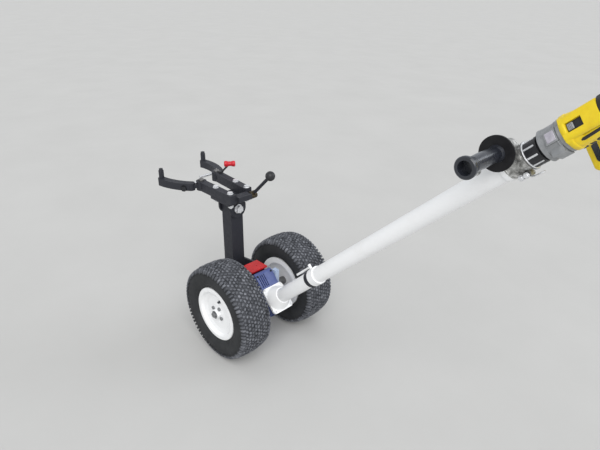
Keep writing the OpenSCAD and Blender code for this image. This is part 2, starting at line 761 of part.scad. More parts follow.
// From the fine ring k to the coarse ring m
function narrowed(k, m, i) = [
  [at(k, 3 * i), at(m, i), at(k, 3 * i + 1)], [at(k, 3 * i + 1), at(m, i), at(k, 3 * i + 2)],
  [at(k, 3 * i + 2), at(m, i), at(m, i + 1)], [at(k, 3 * i + 2), at(m, i + 1), at(k, 3 * i + 3)]];
function turned(f) = [f[0], f[2], f[1]];
function strip(k, m) =
  count(k) == count(m) ? [for (i = [0:count(k) - 1]) for (f = level(k, m, i)) f] :
  count(k) > count(m) ? [for (i = [0:coarse - 1]) for (f = narrowed(k, m, i)) f] :
  [for (i = [0:coarse - 1]) for (f = narrowed(m, k, i)) turned(f)];

module tyre() {
  rotate([-90, 0, 0]) polyhedron(
    points = [for (k = [0:len(RINGS) - 1]) for (i = [0:count(k) - 1]) ring_point(k, i)],
    faces = [for (k = [0:len(RINGS) - 1]) for (f = strip(k, (k + 1) % len(RINGS))) f]);
}
module tyre_left() { color("#1c1c1e") at_axle() translate([0, track / 2, 0]) tyre(); }
module tyre_right() { color("#1c1c1e") mirror([0, 1, 0]) tyre_left(); }

module hub_bolts() {
  dish_y = track / 2 + rim_w / 2 - 12;
  color("gray") at_axle() for (s = [0, 1]) mirror([0, s, 0]) {
    translate([0, axle_l / 2, 0]) along_y(26, hub_washer_t);
    translate([0, axle_l / 2 + hub_washer_t, 0]) rotate([-90, 0, 0]) hex(17, 6);
    for (i = [0:3]) rotate([0, 152 + 90 * i, 0]) translate([wheel_bolt_ring, dish_y, 0])
      rotate([-90, 0, 0]) hex(11, 5);
  }
}

// Picking a node

head_bracket();
head_block();
arm_left();
arm_right();
arm_bolts();
rock_bolt();
knuckle_pins();
lever_bolt();
release_grip();
jaw_left();
jaw_right();
tow_pin_left();
tow_pin_right();
lever_hub();
lever_rod();
lever_ball();
post();
post_foot();
cap_plate();
gearbox_housing();
gearbox_covers();
input_flange();
neck();
joint_ring();
handle_tube();
lock_pin();
end_fitting();
side_grip();
grip_guard();
torque_arm();
drive_shaft();
chuck();
chuck_inlays();
drill_case();
drill_body();
drill_cap();
drill_hilt();
drill_battery();
axle();
rim_left();
rim_right();
tyre_left();
tyre_right();
hub_bolts();
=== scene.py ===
"""Looks of the hand-guided aircraft tug: materials, fine pieces, light and camera.

The part's own frame is in metres: X forward, Y left, Z up, origin between the
jaws. Pieces are drawn in millimetres in the frames GROUND, TUBE and DRILL, from
sizes that the part's source has too.
"""
import json
import math
import random

import bmesh
import bpy
from mathutils import Matrix, Vector


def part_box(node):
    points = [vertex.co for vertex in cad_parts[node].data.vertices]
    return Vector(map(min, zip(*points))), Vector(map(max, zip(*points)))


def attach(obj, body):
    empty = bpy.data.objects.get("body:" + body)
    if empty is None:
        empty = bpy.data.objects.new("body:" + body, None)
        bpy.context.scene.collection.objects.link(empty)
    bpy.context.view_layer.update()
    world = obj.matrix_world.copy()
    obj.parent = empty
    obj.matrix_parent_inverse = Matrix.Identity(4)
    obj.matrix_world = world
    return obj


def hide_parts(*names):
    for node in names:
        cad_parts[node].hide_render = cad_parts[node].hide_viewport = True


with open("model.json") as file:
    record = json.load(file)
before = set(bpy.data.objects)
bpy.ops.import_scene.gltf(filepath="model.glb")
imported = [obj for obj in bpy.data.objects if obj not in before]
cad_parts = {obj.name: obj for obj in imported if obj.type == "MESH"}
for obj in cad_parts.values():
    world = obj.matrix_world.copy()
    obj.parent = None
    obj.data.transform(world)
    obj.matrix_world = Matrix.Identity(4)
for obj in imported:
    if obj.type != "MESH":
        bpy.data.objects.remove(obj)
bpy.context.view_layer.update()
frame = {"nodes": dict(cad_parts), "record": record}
NODES = frame["nodes"]
MM = 0.001

# Places in the part's frame, in metres
AXLE = Vector((-0.400, 0.0, -0.339))
FLOOR_Z = -0.504

# Chassis, in millimetres: ahead of the axle, to the left and over the floor
AXLE_HEIGHT = 165
HALF_TRACK = 144.5
POST_REAR = 113
POST_FRONT = 163
FOOT_FACE = 33                  # outside of the foot plates, from the middle
HEAD_UNDERSIDE = 480            # underside of the head's plate
KNUCKLES = ((258, 38), (295, -55))
KNUCKLE_TOP = 525

# Handle, in millimetres and radians: up from the axle's line and along the tube
HANDLE_SLOPE = math.radians(43.65)
TUBE_AXIS = -50
TUBE_END = 1025
GEARBOX_FRONT = -60
GEARBOX_REAR = 76
GEARBOX_SIDE = 36
FLANGE_FACE = 84
GRIP_UP = TUBE_AXIS + 33
GRIP_ALONG = TUBE_END + 21
GUARD_Y = 58

# Drill, in millimetres and radians: each station follows from the one ahead of it
DRILL_ROLL = math.radians(70)
CHUCK_AT = TUBE_END + 46
CASE_AT = CHUCK_AT + 38
MOTOR_AT = CASE_AT + 46
CAP_AT = MOTOR_AT + 68
MOTOR_R = 33.0
HILT_AT = MOTOR_AT + 46
HILT_LEAN = math.tan(math.radians(9))
HILT_LENGTH = 132
FOOT_AT = HILT_AT - HILT_LENGTH * HILT_LEAN - 9


# Shader nodes

class Shader:
    """A material under construction, with short calls for its nodes."""

    def __init__(self, name, **values):
        self.material = bpy.data.materials.new(name)
        self.material.use_nodes = True
        self.tree = self.material.node_tree
        self.tree.nodes.clear()
        output = self.add("ShaderNodeOutputMaterial")
        self.bsdf = self.add("ShaderNodeBsdfPrincipled")
        self.link(self.bsdf.outputs[0], output.inputs[0])
        self.place = self.add("ShaderNodeTexCoord").outputs["Object"]
        for key, value in values.items():
            self.bsdf.inputs[key.replace("_", " ")].default_value = value

    def add(self, kind, **values):
        node = self.tree.nodes.new(kind)
        for key, value in values.items():
            setattr(node, key, value)
        return node

    def link(self, a, b):
        self.tree.links.new(a, b)

    def feed(self, socket, value):
        """Links another node's output, or sets a number, a vector or an RGB triple."""
        if isinstance(value, bpy.types.NodeSocket):
            self.link(value, socket)
        elif socket.type == "RGBA":
            socket.default_value = (*value, 1)
        else:
            socket.default_value = value

    def noise(self, scale, detail=4, rough=0.55, place=None):
        node = self.add("ShaderNodeTexNoise")
        node.inputs["Scale"].default_value = scale
        node.inputs["Detail"].default_value = detail
        node.inputs["Roughness"].default_value = rough
        self.link(self.place if place is None else place, node.inputs["Vector"])
        return node.outputs["Fac"]

    def stretched(self, scale, stretch):
        """Noise drawn out into lines, as turning or brushing leaves them."""
        turn = self.add("ShaderNodeMapping")
        turn.inputs["Scale"].default_value = stretch
        self.link(self.place, turn.inputs["Vector"])
        return self.noise(scale, 3, 0.5, turn.outputs[0])

    def cells(self, scale):
        node = self.add("ShaderNodeTexVoronoi")
        node.inputs["Scale"].default_value = scale
        self.link(self.place, node.inputs["Vector"])
        return node.outputs["Distance"]

    def ramp(self, fac, *stops):
        """Colour ramp over (position, colour) stops."""
        node = self.add("ShaderNodeValToRGB")
        points = node.color_ramp.elements
        while len(points) < len(stops):
            points.new(0.5)
        for point, (position, colour) in zip(points, stops):
            point.position = position
            point.color = (*colour, 1)
        self.link(fac, node.inputs[0])
        return node.outputs[0]

    def tones(self, scale, detail, dark, light, rough=0.55, top=0.7):
        """Uneven colour between a dark and a light tone."""
        return self.ramp(self.noise(scale, detail, rough), (0.3, dark), (top, light))

    def remap(self, fac, low, high, to_low=0.0, to_high=1.0):
        node = self.add("ShaderNodeMapRange", clamp=True)
        for index, value in enumerate((low, high, to_low, to_high)):
            node.inputs[index + 1].default_value = value
        self.link(fac, node.inputs[0])
        return node.outputs[0]

    def math(self, kind, a, b):
        node = self.add("ShaderNodeMath", operation=kind, use_clamp=kind != "SUBTRACT")
        self.feed(node.inputs[0], a)
        self.feed(node.inputs[1], b)
        return node.outputs[0]

    def vector(self, kind, *values):
        node = self.add("ShaderNodeVectorMath", operation=kind)
        for socket, value in zip(node.inputs, values):
            self.feed(socket, value)
        return node.outputs["Value" if kind in ("LENGTH", "DOT_PRODUCT") else "Vector"]

    def mix(self, fac, a, b):
        """Mixes two colours, each a socket or an RGB triple."""
        node = self.add("ShaderNodeMix", data_type="RGBA")
        for index, value in ((0, fac), (6, a), (7, b)):
            self.feed(node.inputs[index], value)
        return node.outputs[2]

    def from_axle(self):
        """Distance from the axle's line at rest, in metres."""
        away = self.vector("SUBTRACT", self.place, AXLE)
        return self.vector("LENGTH", self.vector("MULTIPLY", away, (1, 0, 1)))

    def inside(self, low, high):
        """1 inside a box of the part's frame and 0 outside it, corners in metres."""
        middle = [(a + b) / 2 for a, b in zip(low, high)]
        half = [(b - a) / 2 for a, b in zip(low, high)]
        away = self.vector("ABSOLUTE", self.vector("SUBTRACT", self.place, middle))
        axes = self.add("ShaderNodeSeparateXYZ")
        self.link(self.vector("SUBTRACT", away, half), axes.inputs[0])
        over = self.math("MAXIMUM", axes.outputs[0], axes.outputs[1])
        return self.remap(self.math("MAXIMUM", over, axes.outputs[2]), 0.0, 0.4 * MM, 1.0, 0.0)

    def rounded_normal(self, radius):
        bevel = self.add("ShaderNodeBevel", samples=6)
        bevel.inputs["Radius"].default_value = radius * MM
        return bevel.outputs[0]

    def edges(self, radius):
        """1 along edges and 0 on flat stretches."""
        normal = self.add("ShaderNodeNewGeometry").outputs["Normal"]
        same = self.vector("DOT_PRODUCT", self.rounded_normal(radius), normal)
        return self.remap(self.math("SUBTRACT", 1.0, same), 0.02, 0.25)

    def wear(self, radius, scale, low, high, most=1.0):
        """Share of the paint that is rubbed off along edges, in patches. On the black, red and blue paints
        its lighter edge colour is also a painted highlight along the edges.
        """
        patches = self.remap(self.noise(scale, 6), low, high, 0.0, most)
        return self.math("MULTIPLY", self.edges(radius), patches)

    def bump(self, height, strength, depth, soft_edge):
        """Fine relief, its depth and the softness of edges in millimetres."""
        node = self.add("ShaderNodeBump")
        node.inputs["Strength"].default_value = strength
        node.inputs["Distance"].default_value = depth * MM
        self.link(height, node.inputs["Height"])
        self.link(self.rounded_normal(soft_edge), node.inputs["Normal"])
        self.link(node.outputs[0], self.bsdf.inputs["Normal"])

    def grain(self, scale, detail, strength, depth, soft_edge):
        self.bump(self.noise(scale, detail), strength, depth, soft_edge)

    def colour(self, socket):
        self.link(socket, self.bsdf.inputs["Base Color"])

    def roughness(self, height, low, high):
        self.link(self.remap(height, 0.3, 0.7, low, high), self.bsdf.inputs["Roughness"])

    def rough(self, scale, detail, low, high):
        self.roughness(self.noise(scale, detail), low, high)


def mottled(name, tones, rough, grain, **values):
    """Material of two uneven tones, with the arguments of three calls of a Shader."""
    s = Shader(name, **values)
    s.colour(s.tones(*tones))
    s.rough(*rough)
    s.grain(*grain)
    return s.material


# Materials

def black_paint():
    s = Shader("satin_black_paint", Specular_IOR_Level=0.30)
    dust = s.remap(s.noise(16, 7, 0.65), 0.5, 0.8, 0.0, 0.6)
    base = s.mix(dust, (0.0270, 0.0285, 0.0365), (0.048, 0.049, 0.057))
    # Edges rubbed to a lighter grey in patches: partly wear, partly a painted highlight along the edges.
    s.colour(s.mix(s.wear(0.8, 60, 0.46, 0.64), base, (0.13, 0.127, 0.125)))
    s.rough(90, 5, 0.44, 0.64)
    s.grain(900, 3, 0.12, 0.3, 0.5)
    return s.material


def zinc():
    return mottled("zinc_plate", (120, 4, (0.70, 0.71, 0.73), (0.88, 0.89, 0.91)),
                   (220, 4, 0.36, 0.54), (1500, 2, 0.15, 0.1, 0.4), Metallic=0.7)


def pin_zinc():
    """Zinc on the tow pins' shanks, black on their nuts outside the jaws."""
    s = Shader("zinc_pin_with_black_nut", Metallic=0.7)
    right_nut, left_nut, wide = -95 * MM, 87 * MM, 200 * MM
    shank = s.inside((-wide, right_nut, -wide), (wide, left_nut, wide))
    bright = s.tones(120, 4, (0.62, 0.63, 0.65), (0.84, 0.85, 0.87))
    dark = s.tones(160, 5, (0.022, 0.023, 0.028), (0.055, 0.056, 0.062))
    s.colour(s.mix(shank, dark, bright))
    s.rough(220, 4, 0.34, 0.52)
    s.grain(1500, 2, 0.15, 0.1, 0.4)
    return s.material


def aged_zinc():
    return mottled("aged_zinc", (260, 6, (0.20, 0.20, 0.21), (0.42, 0.43, 0.44), 0.65),
                   (300, 4, 0.42, 0.62), (1200, 3, 0.2, 0.1, 0.4), Metallic=0.9)


def bare_steel():
    s = Shader("turned_steel", Metallic=1.0)
    lines = s.stretched(500, (1, 12, 1))
    s.colour(s.tones(40, 6, (0.17, 0.165, 0.16), (0.33, 0.33, 0.33)))
    s.roughness(lines, 0.36, 0.56)
    s.bump(lines, 0.15, 0.1, 0.4)
    return s.material


def brass():
    return mottled("dull_brass", (90, 6, (0.050, 0.041, 0.028), (0.135, 0.108, 0.064), 0.65),
                   (150, 4, 0.3, 0.5), (700, 3, 0.15, 0.1, 0.5), Metallic=0.8)


def red_paint():
    s = Shader("gloss_red_paint", Specular_IOR_Level=0.35, Coat_Weight=0.12, Coat_Roughness=0.1)
    base = s.tones(25, 5, (0.46, 0.0035, 0.007), (0.60, 0.007, 0.010))
    # Edges rubbed pinkish in patches: partly wear, partly a painted highlight along the plate's edges.
    s.colour(s.mix(s.wear(0.7, 80, 0.56, 0.66), base, (0.70, 0.25, 0.24)))
    s.rough(90, 4, 0.24, 0.38)
    s.grain(500, 2, 0.08, 0.2, 0.6)
    return s.material


def red_plastic():
    """Red on the release grip's knob, dark on its stalk."""
    s = Shader("moulded_red_plastic")
    low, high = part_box("release_grip")
    knob_height = 21.5 * MM
    spare = 10 * MM
    knob_low = (low[0] - spare, low[1] - spare, high[2] - knob_height)
    knob = s.inside(knob_low, [value + spare for value in high])
    red = s.tones(60, 4, (0.50, 0.007, 0.018), (0.66, 0.016, 0.030))
    dark = s.tones(90, 4, (0.014, 0.014, 0.016), (0.030, 0.030, 0.033))
    s.colour(s.mix(knob, dark, red))
    s.rough(200, 3, 0.34, 0.5)
    s.grain(2500, 2, 0.15, 0.1, 0.5)
    return s.material


def blue_enamel():
    """Blue on the gearbox, and pale blue on the bearing block of its right cover as painted light, standing
    in for light falling on the housing's right side.
    """
    s = Shader("blue_enamel_on_casting", Coat_Weight=0.2, Coat_Roughness=0.2)
    base = s.tones(34, 6, (0.045, 0.070, 0.235), (0.100, 0.135, 0.330), 0.6)
    pale = s.tones(40, 5, (0.42, 0.54, 0.76), (0.56, 0.66, 0.85))
    # Box round the right cover's bearing block, painted pale blue as painted light.
    low, high = (-0.4385, -0.0600, -0.3160), (-0.4150, -0.0415, -0.2540)
    paint = s.mix(s.inside(low, high), base, pale)
    # Edges rubbed to a paler grey-blue in patches: partly wear, partly a painted highlight along the edges.
    s.colour(s.mix(s.wear(0.8, 70, 0.48, 0.62), paint, (0.42, 0.46, 0.56)))
    s.rough(110, 4, 0.28, 0.45)
    s.grain(420, 5, 0.25, 0.4, 0.8)
    return s.material


def white_paint():
    s = Shader("white_powder_coat", Coat_Weight=0.1, Coat_Roughness=0.25)
    grime = s.remap(s.noise(11, 8, 0.72), 0.52, 0.85, 0.0, 0.5)
    base = s.mix(grime, (0.920, 0.928, 0.940), (0.74, 0.73, 0.71))
    s.colour(s.mix(s.wear(0.7, 45, 0.54, 0.68, 0.8), base, (0.50, 0.49, 0.47)))
    s.rough(100, 4, 0.30, 0.45)
    s.bump(s.cells(900), 0.06, 0.2, 0.8)
    return s.material


def grip_rubber():
    # Base colour lighter and bluish, and the coat tint bluish, as a painted sheen standing in for the grip's
    # bluish highlight.
    return mottled("black_grip_rubber_painted_sheen", (40, 5, (0.013, 0.014, 0.0185), (0.028, 0.030, 0.038), 0.55, 0.75),
                   (160, 4, 0.24, 0.38), (1400, 2, 0.12, 0.2, 0.5), Specular_IOR_Level=0.45,
                   Coat_Weight=0.6, Coat_Roughness=0.24, Coat_Tint=(0.86, 0.92, 1.0, 1))


def guard_rubber():
    return mottled("matt_guard_rubber", (50, 5, (0.009, 0.009, 0.0105), (0.019, 0.019, 0.021), 0.55, 0.75),
                   (190, 4, 0.40, 0.55), (1400, 2, 0.15, 0.2, 0.5), Specular_IOR_Level=0.2)


def aluminium():
    s = Shader("turned_aluminium_painted_shade", Metallic=0.9)
    lines = s.stretched(420, (8, 1, 8))
    # Mottle from very dark to light: the dark patches are partly mottling, partly painted shadow standing in
    # for deep shade round the fitting's hardware.
    s.colour(s.ramp(s.noise(70, 7, 0.65), (0.34, (0.09, 0.09, 0.085)), (0.48, (0.34, 0.34, 0.33)),
                    (0.64, (0.70, 0.70, 0.685))))
    s.roughness(lines, 0.30, 0.50)
    s.bump(lines, 0.12, 0.1, 0.5)
    return s.material


def black_plastic():
    return mottled("moulded_black_plastic", (50, 4, (0.010, 0.0105, 0.013), (0.022, 0.0225, 0.026)),
                   (240, 3, 0.36, 0.52), (2200, 2, 0.2, 0.12, 0.5))


def yellow_plastic():
    s = Shader("moulded_yellow_plastic", Subsurface_Weight=0.04)
    dirt = s.remap(s.noise(22, 6), 0.52, 0.75, 0.0, 0.4)
    base = s.tones(60, 3, (0.86, 0.62, 0.008), (0.94, 0.70, 0.016))
    s.colour(s.mix(dirt, base, (0.60, 0.40, 0.02)))
    s.rough(240, 3, 0.36, 0.5)
    s.grain(1800, 2, 0.2, 0.12, 0.7)
    return s.material


def grey_case():
    return mottled("satin_grey_gear_case", (60, 4, (0.26, 0.27, 0.28), (0.38, 0.39, 0.40)),
                   (200, 4, 0.32, 0.48), (900, 3, 0.15, 0.15, 0.6), Metallic=0.35)


def case_plate_satin():
    s = Shader("bare_satin_plate", Metallic=0.25)
    lines = s.stretched(600, (1, 14, 1))
    s.colour(s.tones(140, 5, (0.44, 0.42, 0.48), (0.60, 0.58, 0.64)))
    s.roughness(lines, 0.34, 0.5)
    s.bump(lines, 0.1, 0.05, 0.3)
    return s.material


def tyre_rubber():
    """Plain dark sidewall; dusty ground between the knobs, kept dark partly as painted shade in the gaps;
    knobs of uneven random tones, darker down their sides towards the ground as painted shade.
    """
    s = Shader("dusty_tyre_rubber", Specular_IOR_Level=0.35)
    tread = s.remap(s.from_axle(), 144 * MM, 150 * MM)
    knob_tone_and_painted_shade = s.add("ShaderNodeAttribute", attribute_name="knob").outputs["Fac"]
    dust = s.remap(s.noise(38, 8, 0.75), 0.36, 0.64)
    speck = s.remap(s.noise(420, 3, 0.6), 0.56, 0.70)
    wall = s.mix(s.remap(s.noise(20, 7, 0.6), 0.4, 0.75), (0.022, 0.0235, 0.0255), (0.038, 0.040, 0.043))
    # Ground between the knobs: dust on a dark colour that is partly painted shade in the gaps.
    ground = s.mix(dust, (0.028, 0.030, 0.035), (0.098, 0.103, 0.118))
    top = s.mix(dust, (0.110, 0.118, 0.138), (0.235, 0.243, 0.270))
    top = s.mix(s.math("MULTIPLY", speck, 0.5), top, (0.38, 0.39, 0.41))
    s.colour(s.mix(tread, wall, s.mix(knob_tone_and_painted_shade, ground, top)))
    s.rough(80, 5, 0.62, 0.85)
    s.grain(650, 5, 0.3, 0.3, 0.4)
    return s.material


SLOTS = {
    "black_steel": black_paint(), "zinc": zinc(), "steel": bare_steel(), "brass": brass(),
    "red_paint": red_paint(), "red_plastic": red_plastic(), "blue_paint": blue_enamel(),
    "white_paint": white_paint(), "black_rubber": grip_rubber(), "aluminium": aluminium(),
    "black_plastic": black_plastic(), "yellow_plastic": yellow_plastic(),
    "grey_case": grey_case(), "tyre": tyre_rubber(),
}


def paint_nodes():
    """Gives every CAD node the material of its slot in the record, or its own finish."""
    for row in frame["record"]["subparts"]:
        node = NODES[row["node"]]
        node.data.materials.clear()
        node.data.materials.append(SLOTS[row["material_slot"]])
    pins = pin_zinc()
    for name, material in (("grip_guard", guard_rubber()), ("hub_bolts", aged_zinc()), ("tow_pin_left", pins),
                           ("tow_pin_right", pins)):
        NODES[name].data.materials[0] = material


# Frames whose points are written in millimetres

def tube_matrix():
    """Local X up from the handle tube, Y left, Z along it to the rear, origin on the axle's line."""
    c, s = math.cos(HANDLE_SLOPE), math.sin(HANDLE_SLOPE)
    turn = Matrix(((s, 0, -c), (0, 1, 0), (c, 0, s))).to_4x4()
    return Matrix.Translation(AXLE) @ turn


def drill_matrix():
    """The tube's own axis, with X up through the drill's top and Z rearward."""
    return tube_matrix() @ Matrix.Translation((TUBE_AXIS * MM, 0, 0)) @ Matrix.Rotation(DRILL_ROLL, 4, "Z")


GROUND = Matrix.Translation((AXLE.x, 0, FLOOR_Z)) @ Matrix.Scale(MM, 4)
TUBE = tube_matrix() @ Matrix.Scale(MM, 4)
DRILL = drill_matrix() @ Matrix.Scale(MM, 4)

# Sections under the drill: local Z is the distance down, X runs along the spindle
DOWN = Matrix(((0, 0, -1, 0), (0, 1, 0, 0), (1, 0, 0, 0), (0, 0, 0, 1)))
# Ways of the frames TUBE and DRILL
UPWARD = (1, 0, 0)
REARWARD = (0, 0, 1)


def wheel_frame(sign):
    """Ground frame with its origin in the middle of the left (1) or right (-1) wheel."""
    return GROUND @ Matrix.Translation((0, sign * HALF_TRACK, AXLE_HEIGHT))


def on(place, up, ahead=UPWARD):
    """Stands local Z along up at a place, X as near as can be to ahead."""
    z = Vector(up).normalized()
    x = Vector(ahead)
    x = (x - x.dot(z) * z).normalized()
    turn = Matrix((x, z.cross(x), z)).transposed().to_4x4()
    turn.translation = Vector(place)
    return turn


# Mesh building

def finish_piece(bm, name, slot_name, body, matrix, smooth=40, material=None):
    """Makes an object of a mesh drawn in matrix's frame and rides it on a body."""
    mesh = bpy.data.meshes.new(name)
    bmesh.ops.recalc_face_normals(bm, faces=bm.faces)
    bm.to_mesh(mesh)
    bm.free()
    mesh.transform(matrix)
    if matrix.determinant() < 0:
        mesh.flip_normals()
    mesh.materials.append(material or SLOTS[slot_name])
    piece = bpy.data.objects.new(name, mesh)
    bpy.context.scene.collection.objects.link(piece)
    for polygon in mesh.polygons:
        polygon.use_smooth = True
    mesh.set_sharp_from_angle(angle=math.radians(smooth))
    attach(piece, body)
    return piece


def skin(bm, rings):
    """Faces between each closed ring of vertices and the next."""
    count = len(rings[0])
    for low, high in zip(rings, rings[1:]):
        for k in range(count):
            j = (k + 1) % count
            bm.faces.new((low[k], low[j], high[j], high[k]))


def revolve(bm, outline, segments):
    """Sweeps a closed outline of (radius, along) points round local Y."""
    rings = []
    for i in range(segments):
        a = 2 * math.pi * i / segments
        rings.append([bm.verts.new((r * math.cos(a), t, r * math.sin(a))) for r, t in outline])
    skin(bm, rings + rings[:1])


def loft(bm, sections, at=None, capped=True):
    """Skins sections of one length, each a list of points."""
    at = at or Matrix.Identity(4)
    rings = [[bm.verts.new(at @ point) for point in section] for section in sections]
    skin(bm, rings)
    if capped:
        bm.faces.new(list(reversed(rings[0])))
        bm.faces.new(rings[-1])


def circle(radius, z, count=24):
    """Circle round local Z."""
    turns = [2 * math.pi * k / count for k in range(count)]
    return [Vector((radius * math.cos(a), radius * math.sin(a), z)) for a in turns]


def hexagon(apothem, z, count=24):
    """Hexagon round local Z, with as many points as a circle."""
    points = []
    for k in range(count):
        a = 2 * math.pi * k / count
        radius = apothem / math.cos((a + math.pi / 6) % (math.pi / 3) - math.pi / 6)
        points.append(Vector((radius * math.cos(a), radius * math.sin(a), z)))
    return points


def rounded(width, depth, radius, z, steps=6, middle=0.0):
    """Rectangle with rounded corners, its middle moved along X."""
    points = []
    for sx, sy, start in ((1, 1, 0), (-1, 1, 90), (-1, -1, 180), (1, -1, 270)):
        for k in range(steps):
            a = math.radians(start + 90 * k / (steps - 1))
            x = sx * (width / 2 - radius) + radius * math.cos(a) + middle
            y = sy * (depth / 2 - radius) + radius * math.sin(a)
            points.append(Vector((x, y, z)))
    return points


def turned(bm, profile, at, count=24, capped=True):
    """Turned solid or ring from (radius, height) points."""
    loft(bm, [circle(r, z, count) for r, z in profile], at, capped)


def add_bolt(bm, at, across, height, washer):
    """Hex head with a turned chamfer, on a washer of a given radius."""
    low = 1.6
    turned(bm, [(washer, 0), (washer, 1.2), (washer - 0.4, low)], at)
    a = across / 2
    loft(bm, [hexagon(a, low), hexagon(a, low + height - 0.9), circle(a * 1.02, low + height - 0.5),
              circle(a * 0.9, low + height)], at)


def add_socket_screw(bm, at, radius, height):
    """Round head with a hexagon socket 2.5 mm deep."""
    a = radius * 0.5
    loft(bm, [circle(radius, 0), circle(radius, height - 0.6), circle(radius - 0.5, height),
              hexagon(a, height), hexagon(a, height - 2.5)], at)


def add_pad(bm, at, width, depth, thick, radius=1.5, edge=0.5):
    """Thin plate with rounded corners and a softened rim, on local XY."""
    loft(bm, [rounded(width, depth, radius, 0), rounded(width, depth, radius, thick - edge),
              rounded(width - 2 * edge, depth - 2 * edge, max(0.3, radius - edge), thick)], at)


def ring(centre, side, other, radius, count):
    """Points round a centre, in the plane of two unit vectors."""
    turns = [2 * math.pi * i / count for i in range(count)]
    return [centre + radius * (side * math.cos(a) + other * math.sin(a)) for a in turns]


def add_wire(bm, points, radius):
    """Round bar along points, turned as little as possible."""
    points = [Vector(point) for point in points]
    side = None
    sections = []
    for k, point in enumerate(points):
        before = points[max(k - 1, 0)]
        after = points[min(k + 1, len(points) - 1)]
        ahead = (after - before).normalized()
        side = side or ahead.orthogonal()
        side = (side - side.dot(ahead) * ahead).normalized()
        sections.append(ring(point, side, ahead.cross(side), radius, 10))
    loft(bm, sections)


def add_bead(bm, start, end, radius, rng):
    """Weld bead with a ripple every 2.2 mm and thin ends."""
    start, end = Vector(start), Vector(end)
    count = max(4, int((end - start).length / 0.75))
    ahead = (end - start).normalized()
    side = ahead.orthogonal().normalized()
    sections = []
    for k in range(count + 1):
        r = radius * (1 + 0.13 * math.sin(k * 2.1) + rng.uniform(-0.05, 0.05))
        if k in (0, count):
            r *= 0.5
        sections.append(ring(start.lerp(end, k / count), side, ahead.cross(side), r, 8))
    loft(bm, sections)


def round_the_bend(points):
    """Smooth curve through points, six steps from each to the next."""
    points = [Vector(point) for point in points]
    padded = [points[0]] + points + [points[-1]]
    curve = []
    for k in range(1, len(padded) - 2):
        a, b, c, d = padded[k - 1:k + 3]
        for i in range(6):
            t = i / 6
            curve.append(0.5 * ((2 * b) + (c - a) * t + (2 * a - 5 * b + 4 * c - d) * t * t
                                + (3 * b - a - 3 * c + d) * t ** 3))
    return curve + [points[-1]]


# Tyres: revolved carcass with a knobby tread

# Ground between the knobs: distance across from the tyre's middle, radius
TREAD_GROUND = [(0, 160.3), (9, 160.2), (20, 159.8), (32, 158.9), (41, 157.3), (47, 155.0), (50.6, 152),
                (53.2, 148.5)]
# Bead and sidewall outside, lining inside: radius, distance across
SIDEWALL = [(78.5, 40), (78.8, 43.6), (86, 43.8), (93.8, 43.8), (96, 47), (99, 50.2), (101.5, 52.4),
            (103, 53.6), (104.6, 53.2), (106, 54.4), (110, 56.4), (117, 58.4), (125, 59), (133, 58.6),
            (140, 57.0), (145.5, 54.6), (147, 54.4)]
LINING = [(78.5, 33), (84, 34), (95, 40), (108, 47), (125, 49.5), (138, 46), (146, 38), (149, 22)]
LINING_TOP = 149.5

TREAD_R = 160.0
SHOULDER_R = 155.0
KNOB_RELIEF = 4.7
TREAD_PITCHES = 74
TREAD_PITCH = 2 * math.pi * TREAD_R / TREAD_PITCHES
KNOB_SHARE = 0.70               # of the pitch
# Columns of knobs: distance across, width, stagger, lean
TREAD_ROWS = [(0.0, 9.6, 0.0, 0.0), (10.9, 9.6, 0.5, 0.12), (21.8, 9.6, 0.0, -0.12), (32.6, 9.4, 0.5, 0.12),
              (43.2, 9.2, 0.0, 0.0)]
# Corners of a knob as shares of half its length and half its width
KNOB_CORNERS = ((-1, -0.45), (-0.5, -1), (0.5, -1), (1, -0.45), (1, 0.45), (0.5, 1), (-0.5, 1), (-1, 0.45))


def tyre_outline():
    """Closed section of the carcass: outside from one bead to the other, and back inside."""
    half = SIDEWALL + [(r, t) for t, r in reversed(TREAD_GROUND[1:])]
    outside = half + [(TREAD_GROUND[0][1], 0)] + [(r, -t) for r, t in reversed(half)]
    inside = [(r, -t) for r, t in LINING] + [(LINING_TOP, 0)] + [(r, t) for r, t in reversed(LINING)]
    return outside + inside


def carcass_radius(across):
    """Radius of the tread's ground at a distance from the tyre's middle."""
    t = abs(across)
    for (t0, r0), (t1, r1) in zip(TREAD_GROUND, TREAD_GROUND[1:]):
        if t <= t1:
            return r0 + (r1 - r0) * (t - t0) / (t1 - t0)
    return TREAD_GROUND[-1][1]


def tip_radius(across):
    """Radius of the knobs' tips, a little lower towards the shoulder."""
    return carcass_radius(across) + KNOB_RELIEF - 0.35 * max(0.0, abs(across) - 40) / 10


def add_knob(bm, shade, angle, across, length, width, lean, wear, rng):
    """One tread knob: eight-sided, chamfered round its worn top. Its top carries its own random tone, which
    fades down its sides to none at its foot as painted shade.
    """
    outline = []
    for i, j in KNOB_CORNERS:
        outline.append((i * length / 2 * rng.uniform(0.74, 1.08), j * width / 2 * rng.uniform(0.76, 1.08)))
    tone = rng.uniform(0.1, 1.0)

    def level(grow, tint, radius_at):
        verts = []
        for along, off in outline:
            t = across + off * grow
            r = radius_at(t)
            a = angle + (along * grow + lean * off) / TREAD_R
            vert = bm.verts.new((r * math.cos(a), t, r * math.sin(a)))
            vert[shade] = tone * tint
            verts.append(vert)
        return verts

    # Tone shares: none at the foot, 0.45 at the chamfer, all on top; the sides darken towards the ground as
    # painted shade.
    foot = level(1.06, 0.0, lambda t: carcass_radius(t) - 0.8)
    rim = level(1.0, 0.45, lambda t: tip_radius(t) - wear - 0.9)
    top = level(0.80, 1.0, lambda t: tip_radius(t) - wear)
    bm.faces.new(top)
    skin(bm, [foot, rim, top])


